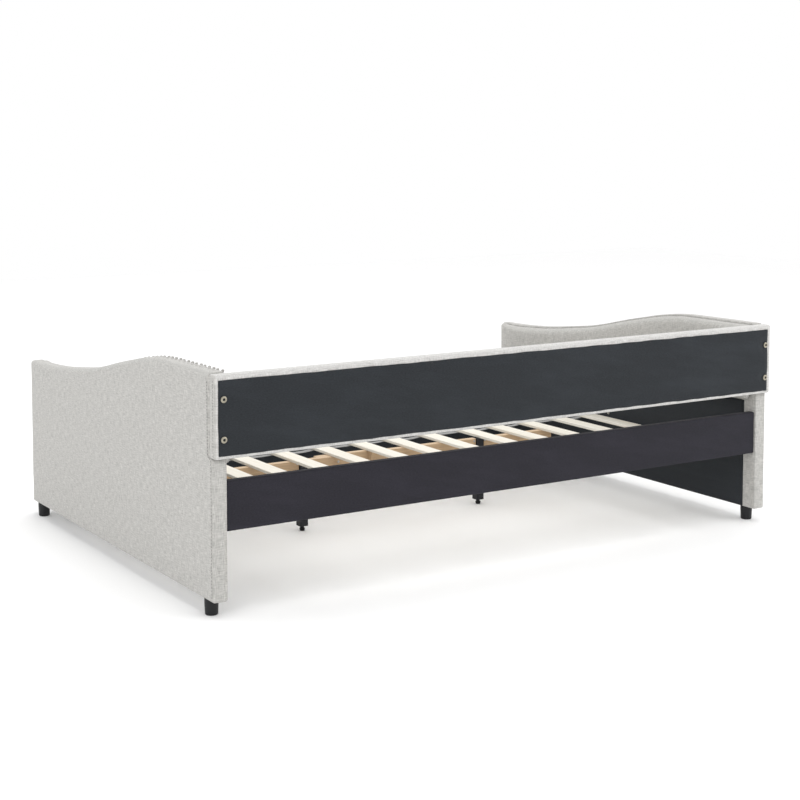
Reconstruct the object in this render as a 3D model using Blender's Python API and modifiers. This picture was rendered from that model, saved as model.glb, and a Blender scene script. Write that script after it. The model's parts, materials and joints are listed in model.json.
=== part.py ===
"""Full-size upholstered daybed frame with a slatted base: two wave-topped padded arms, a bolted
back panel, front and rear rails, a slat roll on ledges, and a centre beam on two levelling legs.

Metres, +Z up, the front towards -Y, the origin on the floor under the middle of the object.
"""

import math

import bmesh
import bpy

COLLECTION = "daybed"
CUTTERS = "cutters"
GAP = 0.0003

# Overall
WIDTH = 2.080
ARM_FRONT_Y = -0.742
ARM_REAR_Y = 0.718
FLOOR_CLEARANCE = 0.0466

# Arms
ARM_T = 0.0440
ARM_PAD_T = 0.0260
ARM_ROUND = 0.0080
PAD_ROUND = 0.0090
PAD_BOTTOM_Z = 0.4180
PAD_DROP = 0.0040
PAD_FRONT_GAP = 0.0060
PAD_FRONT_TOP_Z = 0.5050
ARM_FRONT_TOP_Z = 0.5080
REBATE_TOP_DROP = 0.0020
REBATE_DEPTH = 0.0200
REBATE_Z = 0.4475
ARM_CROWN = [
    (0.6970, 0.6850), (0.6200, 0.6848), (0.5200, 0.6838), (0.4300, 0.6830), (0.3650, 0.6820),
    (0.2980, 0.6770), (0.2180, 0.6660), (0.1450, 0.6510), (0.0680, 0.6362), (-0.0100, 0.6190),
    (-0.0820, 0.6020), (-0.1700, 0.5852), (-0.2820, 0.5705), (-0.3700, 0.5600), (-0.4620, 0.5500),
    (-0.5800, 0.5425), (-0.6600, 0.5402), (-0.7130, 0.5395), (-0.7300, 0.5350), (-0.7390, 0.5250),
]
LINING_T = 0.0015
LINING_INSET = 0.0550

# Back panel
BACK_BOTTOM_Z = 0.4480
BACK_TOP_Z = 0.6810
BACK_REAR_Y = 0.7365
BACK_CUSHION_T = 0.0550
BACK_ROUND = 0.0070
CUSHION_ROUND = 0.0180
CUSHION_DROP = 0.0040
BACK_CUSHION_BOTTOM_Z = 0.4520
COVER_SIDE = 0.0080
COVER_BOTTOM = 0.0085
COVER_TOP = 0.0135
BOLT_X = WIDTH / 2 - 0.0250
BOLT_Z = (0.5030, 0.6140)
BOLT_HEAD_R = 0.0092
BOLT_HEAD_T = 0.0036
BOLT_SHANK_R = 0.0040
BOLT_LENGTH = 0.0550
BOLT_HOLE_R = 0.0044
SOCKET_R = 0.0046
SOCKET_DEPTH = 0.0024

# Rails and the angle irons on them
RAIL_RECESS = 0.0065
REAR_RAIL_T = 0.0250
REAR_RAIL_Z = (0.2410, 0.3824)
FRONT_RAIL_T = 0.0400
REAR_RAIL_ROUND = 0.0030
FRONT_RAIL_ROUND = 0.0100
RAIL_LINING_END = 0.0100
RAIL_LINING_BOTTOM = 0.0120
RAIL_LINING_TOP = 0.0200
LEDGE_SIDE = 0.0250
LEDGE_T = 0.0030
LEDGE_END_GAP = 0.0060

# Slats and straps
SLAT_W = 0.0560
SLAT_T = 0.0100
SLAT_TOP_Z = 0.2500
SLAT_END_GAP = 0.0060
SLAT_X = [
    -0.955, -0.816, -0.662, -0.519, -0.385, -0.219, -0.066, 0.071, 0.221, 0.380, 0.533, 0.655,
    0.800, 0.945,
]
STRAP_W = 0.0250
STRAP_T = 0.0012
STRAP_Y = (-0.470, -0.150, 0.460)
STRAP_LENGTH = 1.9600
SCREW_Y = -0.0560
SCREW_Z = 0.2640

# Centre beam and legs
BEAM_HALF = 0.6830
BEAM_H = 0.0560
SPLICE_T = 0.0220
SPLICE_Y = -0.0430
BATTEN_T = 0.0240
LEG_X = 0.3600
LEG_Y = -0.0167
LEG_SIDE = 0.0300
LEG_WALL = 0.0020
LEG_BOTTOM_Z = 0.0170
PLATE_HALF = 0.0550
PLATE_SCREW_X = 0.0230
SPLICE_LAP = 0.0510
PLATE_T = 0.0030
LAP = (0.0920, 0.2440)

# Levelling feet
PAD_R = 0.0095
PAD_TIP_R = 0.0080
PAD_H = 0.0100
STUD_R = 0.0040
STUD_TOP_Z = 0.0800
NUT_R = 0.0065
NUT_H = 0.0030
LEG_END_T = 0.0250
STUD_BORE_R = 0.0044

# Fixed feet
FOOT_R = 0.0200
FOOT_TIP_R = 0.0185
FOOT_INSET_X = 0.0216
FOOT_INSET_Y = 0.0600

COLOURS = {
    "linen": ((0.60, 0.585, 0.555), 0.95, 0.0),
    "linen_border": ((0.70, 0.69, 0.67), 0.95, 0.0),
    "dust_cloth": ((0.030, 0.034, 0.040), 0.90, 0.0),
    "rail_cloth": ((0.030, 0.028, 0.036), 0.88, 0.0),
    "pine": ((0.82, 0.76, 0.62), 0.60, 0.0),
    "plywood": ((0.36, 0.22, 0.12), 0.65, 0.0),
    "webbing": ((0.42, 0.42, 0.41), 0.90, 0.0),
    "black_plastic": ((0.020, 0.022, 0.024), 0.45, 0.0),
    "black_steel": ((0.030, 0.031, 0.034), 0.45, 0.2),
    "zinc": ((0.72, 0.70, 0.64), 0.35, 1.0),
    "nickel": ((0.78, 0.68, 0.50), 0.30, 1.0),
}


def clear_scene():
    """Remove every object that the file starts with."""
    for item in list(bpy.data.objects):
        bpy.data.objects.remove(item, do_unlink=True)


def collection(name):
    """A collection linked to the scene."""
    group = bpy.data.collections.new(name)
    bpy.context.scene.collection.children.link(group)
    return group


def material(name):
    """A Principled material from the colour table."""
    colour, roughness, metallic = COLOURS[name]
    made = bpy.data.materials.new(name)
    made.use_nodes = True
    shader = made.node_tree.nodes["Principled BSDF"]
    shader.inputs["Base Color"].default_value = (*colour, 1.0)
    shader.inputs["Roughness"].default_value = roughness
    shader.inputs["Metallic"].default_value = metallic
    return made


clear_scene()
PARTS = collection(COLLECTION)
TOOLS = collection(CUTTERS)
MATERIALS = {name: material(name) for name in COLOURS}


def add(name, mesh, slot, location=(0.0, 0.0, 0.0), smooth=False):
    """One named object in the part's collection."""
    thing = bpy.data.objects.new(name, mesh)
    thing.location = location
    mesh.materials.clear()
    mesh.materials.append(MATERIALS[slot])
    for face in mesh.polygons:
        face.use_smooth = smooth
    PARTS.objects.link(thing)
    return thing


def to_mesh(name, shape):
    """Write a bmesh into a new mesh, faces outwards."""
    bmesh.ops.recalc_face_normals(shape, faces=shape.faces)
    mesh = bpy.data.meshes.new(name)
    shape.to_mesh(mesh)
    shape.free()
    return mesh


def round_edges(thing, width, segments=2, angle=40.0):
    """A Bevel modifier on the sharp edges."""
    bevel = thing.modifiers.new("round", "BEVEL")
    bevel.width = width
    bevel.segments = segments
    bevel.limit_method = "ANGLE"
    bevel.angle_limit = math.radians(angle)
    return thing


def box(name, slot, x, y, z, bevel=0.0, segments=2):
    """A box between pairs of limits, its origin at its middle."""
    spans = [sorted(pair) for pair in (x, y, z)]
    size = [high - low for low, high in spans]
    middle = [(high + low) / 2 for low, high in spans]
    shape = bmesh.new()
    bmesh.ops.create_cube(shape, size=1.0)
    bmesh.ops.scale(shape, vec=size, verts=shape.verts)
    thing = add(name, to_mesh(name, shape), slot, middle)
    if bevel:
        round_edges(thing, bevel, segments)
    return thing


def turned(name, slot, profile, location, sides=32, smooth=True):
    """A solid of revolution about local Z from (radius, height) pairs that start and end on it."""
    shape = bmesh.new()
    ring = [shape.verts.new((radius, 0.0, height)) for radius, height in profile]
    edges = [shape.edges.new(pair) for pair in zip(ring, ring[1:])]
    bmesh.ops.spin(
        shape, geom=ring + edges, axis=(0, 0, 1), cent=(0, 0, 0), steps=sides,
        angle=2 * math.pi, use_merge=True,
    )
    bmesh.ops.remove_doubles(shape, verts=shape.verts, dist=1e-6)
    return add(name, to_mesh(name, shape), slot, location, smooth)


def board(name, slot, outline, x0, x1):
    """A board with a (y, z) outline, extruded along X from x0 to x1."""
    shape = bmesh.new()
    face = shape.faces.new([shape.verts.new((x0, y, z)) for y, z in outline])
    grown = bmesh.ops.extrude_face_region(shape, geom=[face])
    moved = [item for item in grown["geom"] if isinstance(item, bmesh.types.BMVert)]
    bmesh.ops.translate(shape, vec=(x1 - x0, 0.0, 0.0), verts=moved)
    return add(name, to_mesh(name, shape), slot)


def tool_object(name, mesh, location):
    """A hidden object in the cutters' collection."""
    tool = bpy.data.objects.new(name, mesh)
    tool.location = location
    tool.hide_render = True
    tool.display_type = "WIRE"
    TOOLS.objects.link(tool)
    return tool


def cutter(name, radius, length, location, axis="Z", sides=24):
    """A hidden drill that a Boolean subtracts."""
    shape = bmesh.new()
    bmesh.ops.create_cone(
        shape, cap_ends=True, segments=sides, radius1=radius, radius2=radius, depth=length
    )
    tool = tool_object(name, to_mesh(name, shape), location)
    if axis == "Y":
        tool.rotation_euler = (math.radians(90.0), 0.0, 0.0)
    return tool


def cut(thing, tool):
    """Subtract a cutter."""
    step = thing.modifiers.new("cut_" + tool.name, "BOOLEAN")
    step.operation = "DIFFERENCE"
    step.solver = "EXACT"
    step.object = tool
    return thing


def drilled_for_bolts(thing, sides_x):
    """Drill the back panel's bolt holes on the given sides."""
    for x in sides_x:
        for index, z in enumerate(BOLT_Z):
            name = f"drill_{thing.name}_{'r' if x > 0 else 'l'}{index + 1}"
            middle = BACK_REAR_Y - BOLT_LENGTH / 2
            cut(thing, cutter(name, BOLT_HOLE_R, BOLT_LENGTH + 0.012, (x, middle, z), "Y"))
    return thing


def arm_outline():
    """The arm board from the side, with the rebate that the back panel sits in."""
    rebate_y = ARM_REAR_Y - REBATE_DEPTH
    foot = [(ARM_REAR_Y, REBATE_Z), (ARM_REAR_Y, FLOOR_CLEARANCE), (ARM_FRONT_Y, FLOOR_CLEARANCE)]
    crown = [(ARM_FRONT_Y, ARM_FRONT_TOP_Z)] + ARM_CROWN[::-1]
    return foot + crown + [(rebate_y, ARM_CROWN[0][1] - REBATE_TOP_DROP), (rebate_y, REBATE_Z)]


def pad_outline():
    """The inner arm pad from the side: from mattress height to a little under the crown."""
    rear_y = ARM_REAR_Y - REBATE_DEPTH - GAP
    front_y = ARM_FRONT_Y + PAD_FRONT_GAP
    crown = [(y, z - PAD_DROP) for y, z in ARM_CROWN[::-1] if front_y + 0.0040 < y < rear_y]
    ends = [(rear_y, ARM_CROWN[0][1] - PAD_DROP), (rear_y, PAD_BOTTOM_Z), (front_y, PAD_BOTTOM_Z)]
    return ends + [(front_y, PAD_FRONT_TOP_Z)] + crown


def arm(side, sign):
    """One arm: outer board, inner pad above the mattress line, dark lining below it, two feet."""
    outer = sign * WIDTH / 2
    inner = outer - sign * ARM_T
    body = board(f"arm_{side}_board", "linen", arm_outline(), outer, inner)
    round_edges(body, ARM_ROUND, 3, 50.0)
    drilled_for_bolts(body, [sign * BOLT_X])
    start = inner - sign * GAP
    pad = board(f"arm_{side}_pad", "linen", pad_outline(), start, start - sign * ARM_PAD_T)
    round_edges(pad, PAD_ROUND, 3, 50.0)
    box(
        f"arm_{side}_lining", "dust_cloth",
        (start, start - sign * LINING_T),
        (ARM_FRONT_Y + FRONT_RAIL_T + RAIL_RECESS + 0.0020, ARM_REAR_Y - LINING_INSET),
        (FLOOR_CLEARANCE + 0.0020, PAD_BOTTOM_Z - GAP),
    )
    head_x = start - sign * (LINING_T + GAP)
    screw = turned(
        f"arm_{side}_strap_screw", "zinc",
        [(0.0, 0.0), (0.0070, 0.0), (0.0070, 0.0010), (0.0050, 0.0024), (0.0, 0.0030)],
        (head_x, SCREW_Y, SCREW_Z), 20,
    )
    screw.rotation_euler = (0.0, -sign * math.radians(90.0), 0.0)
    for end, y in (("front", ARM_FRONT_Y + FOOT_INSET_Y), ("rear", ARM_REAR_Y - FOOT_INSET_Y)):
        top = FLOOR_CLEARANCE - GAP
        turned(
            f"foot_{end}_{side}", "black_plastic",
            [(0.0, 0.0), (FOOT_TIP_R - 0.002, 0.0), (FOOT_TIP_R, 0.002), (FOOT_R, 0.034),
             (FOOT_R, top), (0.0, top)],
            (outer - sign * FOOT_INSET_X, y, 0.0),
        )


def back_panel():
    """The back: a wrapped board across both arms, a cushion between them and a dust cover."""
    half = WIDTH / 2
    front_y = ARM_REAR_Y - REBATE_DEPTH + GAP
    panel = box(
        "back_board", "linen_border", (-half, half), (front_y, BACK_REAR_Y),
        (BACK_BOTTOM_Z, BACK_TOP_Z), BACK_ROUND, 3,
    )
    drilled_for_bolts(panel, [BOLT_X, -BOLT_X])
    cushion_half = half - ARM_T - ARM_PAD_T - 3 * GAP
    cushion_y = front_y - GAP
    box(
        "back_cushion", "linen", (-cushion_half, cushion_half),
        (cushion_y - BACK_CUSHION_T, cushion_y), (BACK_CUSHION_BOTTOM_Z, BACK_TOP_Z - CUSHION_DROP),
        CUSHION_ROUND, 4,
    )
    cover = box(
        "back_dust_cover", "dust_cloth", (-half + COVER_SIDE, half - COVER_SIDE),
        (BACK_REAR_Y + GAP, BACK_REAR_Y + GAP + LINING_T),
        (BACK_BOTTOM_Z + COVER_BOTTOM, BACK_TOP_Z - COVER_TOP),
    )
    drilled_for_bolts(cover, [BOLT_X, -BOLT_X])


def back_bolts():
    """Flat-headed hexagon-socket bolts through the back panel into the arms."""
    seat_y = BACK_REAR_Y + LINING_T + 2 * GAP
    for sign, side in ((1, "r"), (-1, "l")):
        for index, z in enumerate(BOLT_Z):
            name = f"back_bolt_{side}{index + 1}"
            profile = [
                (0.0, -BOLT_LENGTH), (BOLT_SHANK_R, -BOLT_LENGTH), (BOLT_SHANK_R, 0.0),
                (BOLT_HEAD_R, 0.0), (BOLT_HEAD_R, BOLT_HEAD_T - 0.0014),
                (BOLT_HEAD_R - 0.0026, BOLT_HEAD_T), (0.0, BOLT_HEAD_T),
            ]
            place = (sign * BOLT_X, seat_y, z)
            bolt = turned(name, "nickel", profile, place, 24)
            bolt.rotation_euler = (-math.radians(90.0), 0.0, 0.0)
            depth_y = seat_y + BOLT_HEAD_T
            socket = cutter(
                "socket_" + name, SOCKET_R, 2 * SOCKET_DEPTH, (place[0], depth_y, z), "Y", 6
            )
            cut(bolt, socket)


def ledge(name, rail_y, inward):
    """A steel angle on a rail's inner face: the slats rest on its level leg."""
    top = SLAT_TOP_Z - SLAT_T - GAP
    bottom = top - LEDGE_T
    outline = [
        (rail_y, bottom), (rail_y, bottom + LEDGE_SIDE), (rail_y + inward * LEDGE_T, bottom + LEDGE_SIDE),
        (rail_y + inward * LEDGE_T, top), (rail_y + inward * LEDGE_SIDE, top),
        (rail_y + inward * LEDGE_SIDE, bottom),
    ]
    half = WIDTH / 2 - ARM_T - LEDGE_END_GAP
    board(name, "black_steel", outline, -half, half)


def rails():
    """Rear and front rails between the arms, each with a steel slat ledge on its inner face."""
    half = WIDTH / 2 - ARM_T - GAP
    rear_y = ARM_REAR_Y - RAIL_RECESS
    rear_in = rear_y - REAR_RAIL_T
    box("rear_rail", "rail_cloth", (-half, half), (rear_in, rear_y), REAR_RAIL_Z, REAR_RAIL_ROUND)
    ledge("rear_ledge", rear_in - GAP, -1)
    front_y = ARM_FRONT_Y + RAIL_RECESS
    front_in = front_y + FRONT_RAIL_T
    front_z = (FLOOR_CLEARANCE, REAR_RAIL_Z[1])
    box("front_rail", "linen", (-half, half), (front_y, front_in), front_z, FRONT_RAIL_ROUND, 3)
    lining_y = front_in + GAP + LINING_T
    box(
        "front_rail_lining", "dust_cloth", (-half + RAIL_LINING_END, half - RAIL_LINING_END),
        (front_in + GAP, lining_y), (front_z[0] + RAIL_LINING_BOTTOM, front_z[1] - RAIL_LINING_TOP),
    )
    ledge("front_ledge", lining_y + GAP, 1)
    return lining_y, rear_in


def slats(front_y, rear_y):
    """The slat roll: loose boards across the bed, and the straps beneath that space them."""
    bottom = SLAT_TOP_Z - SLAT_T
    for index, x in enumerate(SLAT_X):
        box(
            f"slat_{index + 1:02d}", "pine", (x - SLAT_W / 2, x + SLAT_W / 2),
            (front_y + SLAT_END_GAP, rear_y - SLAT_END_GAP), (bottom, SLAT_TOP_Z), 0.0020, 2,
        )
    for index, y in enumerate(STRAP_Y):
        box(
            f"slat_strap_{index + 1}", "webbing", (-STRAP_LENGTH / 2, STRAP_LENGTH / 2),
            (y - STRAP_W / 2, y + STRAP_W / 2), (bottom - GAP - STRAP_T, bottom - GAP),
        )


def centre_beam():
    """The beam under the slats: battens broken at the legs, and a splice where two of them meet."""
    top = SLAT_TOP_Z - SLAT_T - GAP
    span_z = (top - BEAM_H, top)
    box(
        "beam_splice", "plywood", (LAP[0] - SPLICE_LAP, LAP[1] + SPLICE_LAP),
        (SPLICE_Y - SPLICE_T / 2, SPLICE_Y + SPLICE_T / 2),
        span_z, 0.0010, 1,
    )
    near_y = SPLICE_Y + SPLICE_T / 2 + GAP
    clear = LEG_SIDE / 2 + 0.0010
    spans = [
        (LEG_X + clear, BEAM_HALF), (LAP[1], LEG_X - clear), (-LEG_X + clear, LAP[0]),
        (-BEAM_HALF, -LEG_X - clear),
    ]
    for index, span in enumerate(spans):
        box(
            f"beam_batten_{index + 1}", "plywood", span, (near_y, near_y + BATTEN_T), span_z,
            0.0010, 1,
        )
    return near_y, top


def bored_tube(name, x, top):
    """A square tube with a thick bored end, open at the top, that stands under the beam."""
    half = LEG_SIDE / 2
    tube = box(
        name, "black_steel", (x - half, x + half), (LEG_Y - half, LEG_Y + half),
        (LEG_BOTTOM_Z, top), 0.0015, 2,
    )
    end_z = LEG_BOTTOM_Z + LEG_END_T
    shape = bmesh.new()
    bmesh.ops.create_cube(shape, size=1.0)
    inside = LEG_SIDE - 2 * LEG_WALL
    bmesh.ops.scale(shape, vec=(inside, inside, 2 * (top - end_z)), verts=shape.verts)
    cut(tube, tool_object("hollow_" + name, to_mesh("hollow_" + name, shape), (x, LEG_Y, top)))
    middle = (x, LEG_Y, LEG_BOTTOM_Z + LEG_END_T / 2)
    return cut(tube, cutter("bore_" + name, STUD_BORE_R, 2 * LEG_END_T, middle))


def beam_screw(name, x, y, z, radius):
    """A pan-head screw in a face that looks towards +Y."""
    screw = turned(
        name, "zinc", [(0.0, 0.0), (radius, 0.0), (radius * 0.8, 0.0014), (0.0, 0.0022)],
        (x, y, z), 16,
    )
    screw.rotation_euler = (-math.radians(90.0), 0.0, 0.0)


def levelling_leg(index, x, plate_y, top):
    """A tube leg with its beam plate, its levelling stud and its floor pad."""
    bored_tube(f"leg_{index}_tube", x, top)
    box(
        f"leg_{index}_plate", "black_steel", (x - PLATE_HALF, x + PLATE_HALF),
        (plate_y - GAP - PLATE_T, plate_y - GAP), (top - BEAM_H + 0.006, top - 0.001), 0.0008, 1,
    )
    turned(
        f"leg_{index}_pad", "black_plastic",
        [(0.0, 0.0), (PAD_TIP_R - 0.001, 0.0), (PAD_TIP_R, 0.001), (PAD_R, PAD_H - 0.002),
         (PAD_R - 0.001, PAD_H), (0.0, PAD_H)],
        (x, LEG_Y, 0.0), 24,
    )
    base = PAD_H + GAP
    turned(
        f"leg_{index}_stud", "black_steel",
        [(0.0, 0.0), (NUT_R, 0.0), (NUT_R, NUT_H), (STUD_R, NUT_H),
         (STUD_R, STUD_TOP_Z - base - 0.001), (STUD_R - 0.001, STUD_TOP_Z - base),
         (0.0, STUD_TOP_Z - base)],
        (x, LEG_Y, base), 24,
    )


def centre_legs(plate_y, top):
    """Both legs and the screws that hold their plates and the lapped beam."""
    for index, x in ((1, LEG_X), (2, -LEG_X)):
        levelling_leg(index, x, plate_y, top)
        for label, dx in (("a", PLATE_SCREW_X), ("b", -PLATE_SCREW_X)):
            place_y = plate_y + BATTEN_T + GAP
            beam_screw(f"leg_{index}_screw_{label}", x + dx, place_y, top - 0.009, 0.0040)
    beam_screw("beam_lap_screw", LAP[1] - 0.0340, plate_y, top - 0.0250, 0.0045)


arm("r", 1)
arm("l", -1)
back_panel()
back_bolts()
FRONT_STOP, REAR_STOP = rails()
slats(FRONT_STOP, REAR_STOP)
PLATE_Y, BEAM_TOP = centre_beam()
centre_legs(PLATE_Y, BEAM_TOP)
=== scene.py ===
"""Visual model of the upholstered daybed frame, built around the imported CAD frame."""
import json
import math

import bmesh
import bpy
import numpy as np
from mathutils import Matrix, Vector


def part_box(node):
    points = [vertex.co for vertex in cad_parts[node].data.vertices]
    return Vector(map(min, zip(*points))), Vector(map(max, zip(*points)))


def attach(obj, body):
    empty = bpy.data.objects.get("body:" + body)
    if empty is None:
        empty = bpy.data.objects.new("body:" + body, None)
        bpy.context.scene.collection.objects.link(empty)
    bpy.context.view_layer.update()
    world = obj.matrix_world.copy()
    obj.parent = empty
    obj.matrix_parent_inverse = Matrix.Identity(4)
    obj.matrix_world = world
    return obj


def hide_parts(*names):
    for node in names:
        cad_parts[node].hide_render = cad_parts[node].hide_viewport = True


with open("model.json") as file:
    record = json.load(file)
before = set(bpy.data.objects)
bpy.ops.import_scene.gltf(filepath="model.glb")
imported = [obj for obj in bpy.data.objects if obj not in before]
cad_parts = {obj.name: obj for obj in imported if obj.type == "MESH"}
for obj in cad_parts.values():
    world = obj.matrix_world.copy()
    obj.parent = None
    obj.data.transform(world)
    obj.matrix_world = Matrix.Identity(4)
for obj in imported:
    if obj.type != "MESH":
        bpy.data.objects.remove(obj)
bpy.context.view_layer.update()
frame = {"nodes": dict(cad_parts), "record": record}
BODY = "frame"

# ------------------------------------------------------------------ sizes that repeat the CAD
ARM_CROWN = [
    (0.7300, 0.6850), (0.6970, 0.6850), (0.6200, 0.6848), (0.5200, 0.6838), (0.4300, 0.6830),
    (0.3650, 0.6820), (0.2980, 0.6770), (0.2180, 0.6660), (0.1450, 0.6510), (0.0680, 0.6362),
    (-0.0100, 0.6190), (-0.0820, 0.6020), (-0.1700, 0.5852), (-0.2820, 0.5705),
    (-0.3700, 0.5600), (-0.4620, 0.5500), (-0.5800, 0.5425), (-0.6600, 0.5402),
    (-0.7130, 0.5397), (-0.7600, 0.5397),
]
REBATE_Z = 0.4475
REBATE_DEPTH = 0.020
ARM_REAR_Y = 0.718
ARM_TOP_Z = 0.685
BACK_TOP_Z = 0.681
BACK_BOTTOM_Z = 0.448
COVER_TOP_Z = 0.6675
COVER_BOTTOM_Z = 0.4565
BOLT_X = 1.015
BOLT_Z = (0.503, 0.614)
SLATS = 14
STRAPS = 3

# ------------------------------------------------------------------ sizes of the upholstery
# edge radii of a slab: at its low and high end along the first direction, then the second
ARM_OUTSIDE = (0.019, 0.005, 0.006, 0.016)
ARM_INSIDE = (0.004, 0.005, 0.006, 0.002)
PAD_INSIDE = (0.019, 0.008, 0.012, 0.021)
PAD_AGAINST_ARM = (0.002, 0.002, 0.002, 0.0015)
BACK_RADII = (0.005, 0.005, 0.006, 0.008)
CUSHION_RADII = (0.020, 0.020, 0.020, 0.020)
REAR_RAIL_RADII = (0.003, 0.003, 0.0035, 0.0035)
FRONT_RAIL_RADII = (0.010, 0.010, 0.012, 0.012)
STEP_HALF = 0.004
SEAM_INSET = 0.0065
SEAM_DEPTH = 0.0022
SEAM_WIDTH = 0.0022
SEAM_BEHIND_STITCHES = 0.0042
PAD_FRONT_GAP = 0.0055
PAD_DROP = -0.0012
PAD_SHRINK = 0.003
PAD_SWELL = 0.0035
CUSHION_SHRINK = 0.004
CUSHION_SWELL = 0.004
CUSHION_VOXEL = 0.007
GATHER_PITCH = 0.0275
GATHER_R = 0.0042
GATHER_SINK = 0.0012
GATHER_ROWS = ((0.0100, 0.0190), (-0.0100, -0.0020))
STAPLE_PITCH = 0.060
STAPLE_HALF = 0.0045
TAPE_T = 0.0009


def crown(y):
    """Height of the arm's top edge at y, smoothed over 60 mm."""
    ys = np.array([p[0] for p in ARM_CROWN][::-1])
    zs = np.array([p[1] for p in ARM_CROWN][::-1])
    steps = np.linspace(-0.03, 0.03, 7)
    return sum(np.interp(np.asarray(y, float) + s, ys, zs) for s in steps) / len(steps)


# ------------------------------------------------------------------ value noise for relief
class Noise:
    """Smooth seeded 2-D noise in -1..1."""

    def __init__(self, seed, cells=64):
        self.grid = np.random.default_rng(seed).uniform(-1, 1, (cells, cells))
        self.cells = cells

    def __call__(self, a, b):
        a, b = np.asarray(a, float), np.asarray(b, float)
        i, j = np.floor(a).astype(int), np.floor(b).astype(int)
        s, t = a - i, b - j
        s, t = s * s * (3 - 2 * s), t * t * (3 - 2 * t)
        n = self.cells
        g = self.grid
        p, q = g[i % n, j % n], g[(i + 1) % n, j % n]
        r, u = g[i % n, (j + 1) % n], g[(i + 1) % n, (j + 1) % n]
        return (p * (1 - s) + q * s) * (1 - t) + (r * (1 - s) + u * s) * t


WAVES = Noise(3)
CREASES = Noise(11)
FINE = Noise(23)


# ------------------------------------------------------------------ mesh helpers
def new_object(name, verts, faces, smooth=True):
    """A mesh object in the scene, its faces turned outwards."""
    mesh = bpy.data.meshes.new(name)
    mesh.from_pydata([tuple(map(float, v)) for v in verts], [], faces)
    mesh.validate()
    mesh.update()
    shape = bmesh.new()
    shape.from_mesh(mesh)
    bmesh.ops.recalc_face_normals(shape, faces=shape.faces)
    shape.to_mesh(mesh)
    shape.free()
    for face in mesh.polygons:
        face.use_smooth = smooth
    thing = bpy.data.objects.new(name, mesh)
    bpy.context.scene.collection.objects.link(thing)
    return thing


def spaced(length, first, last, step, extra=()):
    """Grid positions across a length, close together where the edges round over."""
    bends = 1 - np.cos(np.radians([0, 22, 42, 60, 75, 90]))
    inner = length - first - last
    count = max(2, int(round(inner / step)))
    middle = [first + inner * k / count for k in range(1, count)]
    middle = [m for m in middle if all(abs(m - e) > 0.004 for e in extra)]
    ends = list(bends * first) + [length - e for e in bends[::-1] * last]
    return np.array(sorted(ends + middle + list(extra)))


def rounding(low_gap, high_gap, low_radius, high_radius):
    """Radius and closeness to the nearer of two opposite edges."""
    low_side = low_gap / low_radius < high_gap / high_radius
    radius = np.where(low_side, low_radius, high_radius)
    return radius, np.clip(1 - np.minimum(low_gap / low_radius, high_gap / high_radius), 0, 1)


def edge_fall(a, b, wide, tall, radii):
    """How far a face drops towards its rounded edges, and how much relief it keeps there."""
    radius_a, close_a = rounding(a, wide - a, radii[0], radii[1])
    radius_b, close_b = rounding(b, tall - b, radii[2], radii[3])
    weight_a, weight_b = close_a**2 + 1e-9, close_b**2 + 1e-9
    radius = (radius_a * weight_a + radius_b * weight_b) / (weight_a + weight_b)
    close = np.maximum(close_a, close_b)
    return radius * (1 - np.sqrt(np.maximum(1 - close**2, 0))), np.clip(1 - close, 0, 1)


def outline_grid(wide, tall, corner, radii, step, extra):
    """Grid positions over a rectangle, fine at its edges, and the same with rounded corners."""
    ga = spaced(wide, radii[0], radii[1], step, extra[0])
    gb = spaced(tall, radii[2], radii[3], step, extra[1])
    a, b = np.meshgrid(ga, gb, indexing="ij")
    da, db = np.minimum(a, wide - a), np.minimum(b, tall - b)
    dx, dy = corner - da, corner - db
    near = (dx > 0) & (dy > 0)
    longest = np.maximum(dx, dy)
    squeeze = np.where(near, longest / np.maximum(np.hypot(dx, dy), 1e-9), 1.0)
    in_a = np.where(near, corner - dx * squeeze, da)
    in_b = np.where(near, corner - dy * squeeze, db)
    pa = np.where(a < wide / 2, in_a, wide - in_a)
    pb = np.where(b < tall / 2, in_b, tall - in_b)
    return a, b, pa, pb


def two_sided_faces(na, nb):
    """Faces of two stacked na x nb grids of points, joined around their rims."""
    def at(side, i, j):
        return (0 if side > 0 else na * nb) + i * nb + j

    faces = []
    for side in (1, -1):
        for i in range(na - 1):
            for j in range(nb - 1):
                quad = [at(side, i, j), at(side, i + 1, j), at(side, i + 1, j + 1), at(side, i, j + 1)]
                faces.append(quad if side > 0 else quad[::-1])
    ring = [(i, 0) for i in range(na)] + [(na - 1, j) for j in range(1, nb)]
    ring += [(i, nb - 1) for i in range(na - 2, -1, -1)] + [(0, j) for j in range(nb - 2, 0, -1)]
    for k, first in enumerate(ring):
        second = ring[(k + 1) % len(ring)]
        faces.append([at(1, *first), at(-1, *first), at(-1, *second), at(1, *second)])
    return faces


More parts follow.
